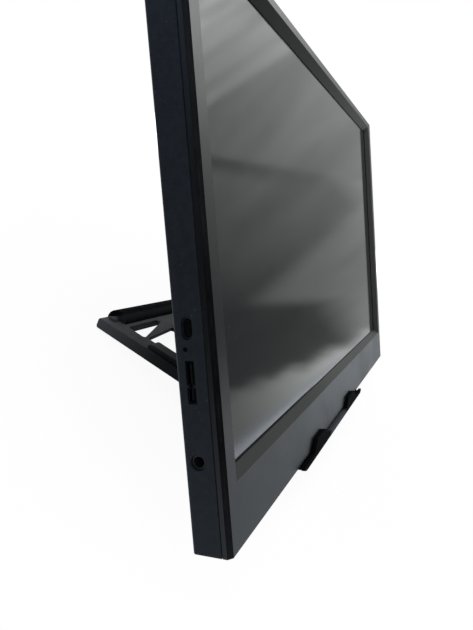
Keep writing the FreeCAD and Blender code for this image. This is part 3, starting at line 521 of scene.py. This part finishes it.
METALS = {
    "sheet_steel": dict(
        tone=(0.55, 0.56, 0.56), dull=(0.46, 0.46, 0.45), rough=(0.28, 0.4),
        streak=(40.0, 900.0, 900.0),
    ),
    "socket_dark": dict(
        tone=(0.022, 0.023, 0.026), dull=(0.014, 0.014, 0.016), rough=(0.38, 0.5),
        streak=(60.0, 1400.0, 1400.0),
    ),
    "contact_gold": dict(
        tone=(0.78, 0.58, 0.28), dull=(0.6, 0.43, 0.2), rough=(0.22, 0.34),
        streak=(700.0, 2400.0, 2400.0),
    ),
    "screw_zinc": dict(
        tone=(0.17, 0.17, 0.175), dull=(0.1, 0.1, 0.1), rough=(0.3, 0.45),
        streak=(300.0, 900.0, 900.0),
    ),
    "pin_steel": dict(
        tone=(0.52, 0.52, 0.53), dull=(0.4, 0.4, 0.4), rough=(0.22, 0.34),
        streak=(80.0, 1200.0, 1200.0),
    ),
}
BOARDS = {
    "board_green": dict(tone=(0.012, 0.075, 0.03), dark=(0.008, 0.05, 0.02)),
    "cable_amber": dict(tone=(0.32, 0.13, 0.02), dark=(0.24, 0.09, 0.014)),
}
FINISHES = {
    name: make(name, **values)
    for make, table in (
        (moulded_plastic, PLASTICS),
        (display_surface, DISPLAYS),
        (clear_plastic, CLEARS),
        (soft_rubber, RUBBERS),
        (drawn_metal, METALS),
        (coated_board, BOARDS),
    )
    for name, values in table.items()
}

WEAR = {
    "front_bezel": "bezel_black",
    "rear_cover": "cover_black",
    "lcd_cell": "display_off",
    "light_guide": "guide_clear",
    "led_bar": "board_green",
    "panel_tray": "sheet_steel",
    "panel_gasket": "gasket_foam",
    "panel_board": "board_green",
    "panel_cable": "cable_amber",
    "main_board": "board_green",
    "board_chips": "chip_black",
    "board_shield": "sheet_steel",
    "board_screws": "screw_zinc",
    "usb_port": "socket_dark",
    "audio_jack": "jack_black",
    "tact_switch": "socket_black",
    "switch_plunger": "socket_black",
    "power_button": "button_black",
    "light_pipe": "pipe_smoke",
    "cover_screws": "screw_zinc",
    "back_rest": "rest_black",
    "leg": "leg_black",
    "ledge_pads": "pad_rubber",
    "rest_pads": "pad_rubber",
    "heel_pads": "pad_rubber",
    "foot_sleeve": "sleeve_rubber",
    "hinge_pins": "pin_steel",
    "friction_washers": "pin_steel",
    "hinge_nuts": "pin_steel",
}
for piece, finish in WEAR.items():
    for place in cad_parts[piece].material_slots:
        place.material = FINISHES[finish]


def placed(name, shape, material):
    """A new object made from a shape, with one material."""
    mesh = bpy.data.meshes.new(name)
    shape.to_mesh(mesh)
    shape.free()
    mesh.materials.append(material)
    made = bpy.data.objects.new(name, mesh)
    scene.collection.objects.link(made)
    return made


# Spring contacts on the tongue of the data socket, in millimetres on the monitor

CONTACT_PROFILE = (
    (-153.9, 8.24),
    (-153.5, 8.12),
    (-152.9, 8.06),
    (-152.3, 8.14),
    (-149.2, 8.16),
    (-149.2, 8.25),
    (-153.9, 8.25),
)
CONTACT_ROWS = (49.95, 56.75)
CONTACT_STEPS = range(-2, 3)
CONTACT_PITCH = 0.65
CONTACT_WIDTH = 0.32


def on_monitor(across, deep, up):
    return Matrix.Rotation(-LEAN, 3, "X") @ (Vector((across, deep, up)) * MM) + LOW_EDGE


def make_contacts():
    shape = bmesh.new()
    widened = on_monitor(0.0, 0.0, CONTACT_WIDTH) - on_monitor(0.0, 0.0, 0.0)
    for middle in CONTACT_ROWS:
        for step in CONTACT_STEPS:
            low = middle + step * CONTACT_PITCH - CONTACT_WIDTH / 2
            ring = [shape.verts.new(on_monitor(x, d, low)) for x, d in CONTACT_PROFILE]
            side = shape.faces.new(ring)
            grown = bmesh.ops.extrude_face_region(shape, geom=[side])["geom"]
            moved = [part for part in grown if isinstance(part, bmesh.types.BMVert)]
            bmesh.ops.translate(shape, verts=moved, vec=widened)
    bmesh.ops.recalc_face_normals(shape, faces=shape.faces)
    contacts = placed("socket_contacts", shape, FINISHES["contact_gold"])
    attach(contacts, "monitor")


make_contacts()


# Floor and room

FLOOR_RADIUS = 6.0
FLOOR_SIDES = 64
FLOOR_WHITE = (0.92, 0.92, 0.92, 1.0)
FLOOR_ROUGH = 0.9

# Start and stop in metres, and the levels there. The camera sees a white floor, with some of
# its shading near the part. Reflections see it bright ahead, darker beyond and dim at the left.
SHADED_NEAR_PART = (0.05, 0.22, 0.93, 1.0)
BRIGHT_AHEAD = (0.38, 0.75, 0.46, 1.9)
DIM_BEYOND = (0.95, 1.25)
LEVEL_BEYOND = 0.6
DIM_BESIDE = (-0.30, -0.15, 0.12, 0.64)
BESIDE_TO_AHEAD = (-0.15, -0.03)
COOL_WHITE = (0.9, 0.98, 1.08)
PLAIN_WHITE = (1.0, 1.0, 1.0)

# Light of the room on the part, and as the camera and reflections see it
ROOM_LEVELS = (0.55, 1.0)


def make_floor():
    material = bpy.data.materials.new("floor_paper")
    material.use_nodes = True
    tree = material.node_tree
    paper = tree.nodes["Principled BSDF"]
    paper.inputs["Base Color"].default_value = FLOOR_WHITE
    paper.inputs["Roughness"].default_value = FLOOR_ROUGH
    paper.inputs["Specular IOR Level"].default_value = 0.0
    spot = object_place(tree)
    across = split(tree, spot)[0]
    reach = node(tree, "ShaderNodeVectorMath", operation="LENGTH")
    feed(tree, spot, reach.inputs[0])
    far = reach.outputs["Value"]
    path = node(tree, "ShaderNodeLightPath").outputs
    seen, mirrored = path["Is Camera Ray"], path["Is Glossy Ray"]
    ahead = ranged(tree, far, *BRIGHT_AHEAD)
    ahead = ranged(tree, far, *DIM_BEYOND, ahead, LEVEL_BEYOND)
    beside = ranged(tree, across, *DIM_BESIDE)
    level = ranged(tree, across, *BESIDE_TO_AHEAD, beside, ahead)
    white = node(tree, "ShaderNodeEmission")
    feed(tree, larger(tree, seen, level), white.inputs["Strength"])
    feed(tree, tint(tree, seen, COOL_WHITE, PLAIN_WHITE), white.inputs["Color"])
    shown = times(tree, ranged(tree, far, *SHADED_NEAR_PART), seen)
    mix = node(tree, "ShaderNodeMixShader")
    feed(tree, larger(tree, shown, mirrored), mix.inputs[0])
    feed(tree, paper.outputs[0], mix.inputs[1])
    feed(tree, white.outputs[0], mix.inputs[2])
    feed(tree, mix.outputs[0], tree.nodes["Material Output"].inputs["Surface"])
    shape = bmesh.new()
    bmesh.ops.create_circle(shape, cap_ends=True, segments=FLOOR_SIDES, radius=FLOOR_RADIUS)
    floor = placed("floor", shape, material)


def make_room():
    world = bpy.data.worlds.new("studio")
    scene.world = world
    world.use_nodes = True
    tree = world.node_tree
    back = tree.nodes["Background"]
    back.inputs["Color"].default_value = (*PLAIN_WHITE, 1.0)
    path = node(tree, "ShaderNodeLightPath").outputs
    looked = larger(tree, path["Is Glossy Ray"], path["Is Transmission Ray"])
    looked = larger(tree, path["Is Camera Ray"], looked)
    feed(tree, ranged(tree, looked, 0.0, 1.0, *ROOM_LEVELS), back.inputs["Strength"])


# Cards that only show in reflections

# Upright card: its place and tone, and the run of its clouds and streaks
CARD_RIGHT = 1.5
CARD_CORNERS = ((-1.7, 0.0), (0.6, 0.0), (0.6, 2.2), (-1.7, 2.2))
CARD_TONE = (0.965, 1.0, 0.985, 1.0)
DRIFT_TURN = math.radians(19.0)
DRIFT_SCALE = (1.0, 1.3, 7.0)
BRUSHED_SCALES = (1.4, 13.0)

# Slants of the card's edges, as height against distance along it
RISE_SLANT = 0.45
WEDGE_SLANT = 0.8
SEAM_SLANT = 1.41
BRIGHT_SLANT = 0.34
TABLE_SLANT = 0.26

# Start and stop of each band in metres, and the levels there
LOW_RISE = (0.05, 0.36, 0.13, 0.37)
HIGH_RISE = (0.36, 0.64, 0.0, 0.25)
WEDGE = (-0.17, -0.10, 0.0, 0.32)
WEDGE_TOP = (0.33, 0.42, 1.0, 0.0)
WEDGE_LEAST = 0.13
FOOT = (-0.56, -0.30, 0.0, 0.46)
FOOT_TOP = (0.14, 0.30, 1.0, 0.0)
FAR_END = (-0.28, 0.0, 0.0, 0.64)
SEAM_SHADOW = (0.22, 0.345)
SEAM_SHADE = (-0.34, -0.08, 0.44, 1.0)
SEAM = (0.345, 0.368)
WALL = (0.38, 0.92, 0.50, 0.72)
WALL_NEAR = (-0.34, -0.12, 0.05, 0.0)
BRIGHT_EDGE = (0.922, 0.948, 0.0, 0.48)
BRIGHT_TOP = (1.05, 1.32, 0.0, 1.1)
BRIGHT_FAR = (-0.26, 0.02, 1.12, 1.0)
BRIGHT_STREAKS = (0.36, 0.64, 0.72, 1.3)
CLOUDS = (0.3, 0.7, 0.86, 1.14)
TABLE_EDGE = (0.025, 0.085)
TABLE = (-1.05, -0.5, 0.6, 1.25)
TABLE_CLOUD, TABLE_RAGGED = 0.16, 0.12

# Round card: where its edge starts, how far it turns, and its bands
DARK_START = (-0.475, 1.306)
DARK_TOP = 4.0
DARK_TURN = math.radians(164.0)
DARK_STEPS = 36
DARK_FOOT = (0.0, 0.35, 0.10, 0.0)
DARK_SKY = (0.9, 3.6, 0.0, 0.22)
DARK_BACK = (0.4, 0.9, 0.0, 0.6)
DARK_END = (-0.46, -0.24)
DARK_END_LEVELS = (0.9, 1.45, 0.4, 3.8)
BLUE_SHADE = (0.72, 0.93, 1.28)


def card_finish(name):
    material = bpy.data.materials.new(name)
    material.use_nodes = True
    tree = material.node_tree
    tree.nodes.remove(tree.nodes["Principled BSDF"])
    glow = node(tree, "ShaderNodeEmission")
    feed(tree, glow.outputs[0], tree.nodes["Material Output"].inputs["Surface"])
    return material, tree, glow.inputs


def reflected_only(name, shape, material):
    card = placed(name, shape, material)
    for seen in ("visible_camera", "visible_diffuse", "visible_shadow", "visible_transmission"):
        setattr(card, seen, False)


def make_shaded_card():
    """Upright card beyond the right end: shadow below, dim wall, bright top, table at its foot."""
    material, tree, glow = card_finish("shaded_card")
    where = object_place(tree)
    _, along, height = split(tree, where)

    def slanted(slope):
        return plus(tree, height, times(tree, along, slope))

    drift = node(tree, "ShaderNodeMapping", vector_type="POINT")
    drift.inputs["Rotation"].default_value = (DRIFT_TURN, 0.0, 0.0)
    drift.inputs["Scale"].default_value = DRIFT_SCALE
    feed(tree, where, drift.inputs["Vector"])
    drifted = drift.outputs["Vector"]
    cloud = noise(tree, drifted, scale=1.6, detail=4.0, rough=0.55, distortion=0.6)
    ragged = noise(tree, where, scale=9.0, detail=4.0, rough=0.6, distortion=0.4)
    brushed = node(tree, "ShaderNodeCombineXYZ")
    along_scale, across_scale = BRUSHED_SCALES
    feed(tree, times(tree, along, along_scale), brushed.inputs[1])
    feed(tree, times(tree, slanted(BRIGHT_SLANT), across_scale), brushed.inputs[2])
    swept = brushed.outputs[0]
    streak = noise(tree, swept, scale=1.0, detail=3.0, rough=0.6, distortion=0.3)

    rise = slanted(RISE_SLANT)
    shadow = plus(tree, ranged(tree, rise, *LOW_RISE), ranged(tree, rise, *HIGH_RISE))
    wedge = ranged(tree, slanted(WEDGE_SLANT), *WEDGE)
    wedge = times(tree, wedge, ranged(tree, height, *WEDGE_TOP))
    shadow = larger(tree, shadow, plus(tree, wedge, WEDGE_LEAST))
    foot = times(tree, ranged(tree, along, *FOOT), ranged(tree, height, *FOOT_TOP))
    shadow = larger(tree, shadow, foot)
    shadow = larger(tree, shadow, ranged(tree, along, *FAR_END))
    seam = slanted(SEAM_SLANT)
    shade = ranged(tree, along, *SEAM_SHADE)
    shadow = times(tree, shadow, ranged(tree, seam, *SEAM_SHADOW, 1.0, shade))

    wall = plus(tree, ranged(tree, height, *WALL), ranged(tree, along, *WALL_NEAR))
    bright = ranged(tree, slanted(BRIGHT_SLANT), *BRIGHT_EDGE)
    bright = plus(tree, bright, ranged(tree, height, *BRIGHT_TOP))
    bright = times(tree, bright, ranged(tree, along, *BRIGHT_FAR))
    bright = times(tree, bright, ranged(tree, streak, *BRIGHT_STREAKS))

    level = ranged(tree, seam, *SEAM, shadow, plus(tree, wall, bright))
    level = times(tree, level, ranged(tree, cloud, *CLOUDS))
    uneven = times(tree, cloud, TABLE_CLOUD), times(tree, ragged, TABLE_RAGGED)
    table = plus(tree, slanted(TABLE_SLANT), *uneven)
    level = ranged(tree, table, *TABLE_EDGE, ranged(tree, along, *TABLE), level)
    feed(tree, CARD_TONE, glow["Color"])
    feed(tree, level, glow["Strength"])
    shape = bmesh.new()
    shape.faces.new([shape.verts.new((CARD_RIGHT, y, z)) for y, z in CARD_CORNERS])
    reflected_only("shaded_card", shape, material)


def make_dark_card():
    """Round card at the left and in front, bluish and dark, with a bright end."""
    material, tree, glow = card_finish("dark_card")
    across, along, height = split(tree, object_place(tree))
    level = plus(tree, ranged(tree, height, *DARK_FOOT), ranged(tree, height, *DARK_SKY))
    level = plus(tree, level, ranged(tree, along, *DARK_BACK))
    end = ranged(tree, across, *DARK_END)
    lit = times(tree, end, ranged(tree, height, *DARK_END_LEVELS))
    feed(tree, plus(tree, level, lit), glow["Strength"])
    feed(tree, tint(tree, end, BLUE_SHADE, PLAIN_WHITE), glow["Color"])
    shape = bmesh.new()
    low = shape.verts.new((*DARK_START, 0.0))
    high = shape.verts.new((*DARK_START, DARK_TOP))
    edge = shape.edges.new((low, high))
    bmesh.ops.spin(
        shape, geom=[low, high, edge], cent=(0, 0, 0), axis=(0, 0, 1),
        angle=DARK_TURN, steps=DARK_STEPS,
    )
    reflected_only("dark_card", shape, material)


# Lamps and camera

LAMP_AIM = Vector((0.0, 0.0, 0.05))
LAMPS = {
    "ceiling_lamp": dict(place=(0.5, 0.4, 1.6), size=1.2, watts=14.0),
    "front_lamp": dict(place=(-0.6, -1.4, 1.2), size=1.0, watts=8.0),
}
CAMERA_PLACE = Vector((-283.20, -58.67, 122.98)) * MM
CAMERA_AIM = Vector((-46.86, 7.24, 36.97)) * MM
CAMERA_ROLL = math.radians(32.513)
CAMERA_SENSOR = 36.0
CAMERA_LENS = 29.33
CAMERA_NEAR = 0.01


def soft_lamp(name, place, size, watts):
    lamp = bpy.data.lights.new(name, "AREA")
    lamp.shape = "DISK"
    lamp.size = size
    lamp.energy = watts
    made = bpy.data.objects.new(name, lamp)
    scene.collection.objects.link(made)
    made.visible_glossy = False
    made.location = place
    made.rotation_euler = (LAMP_AIM - Vector(place)).to_track_quat("-Z", "Y").to_euler()


def make_camera():
    lens = bpy.data.cameras.new("photo_camera")
    lens.sensor_fit = "AUTO"
    lens.sensor_width = CAMERA_SENSOR
    lens.lens = CAMERA_LENS
    lens.clip_start = CAMERA_NEAR
    made = bpy.data.objects.new("photo_camera", lens)
    scene.collection.objects.link(made)
    level = (CAMERA_AIM - CAMERA_PLACE).to_track_quat("-Z", "Y").to_matrix()
    turned = level @ Matrix.Rotation(CAMERA_ROLL, 3, "Z")
    made.matrix_world = Matrix.Translation(CAMERA_PLACE) @ turned.to_4x4()
    scene.camera = made


make_floor()
make_room()
make_shaded_card()
make_dark_card()
for name, values in LAMPS.items():
    soft_lamp(name, **values)
make_camera()
scene.view_settings.view_transform = "Standard"
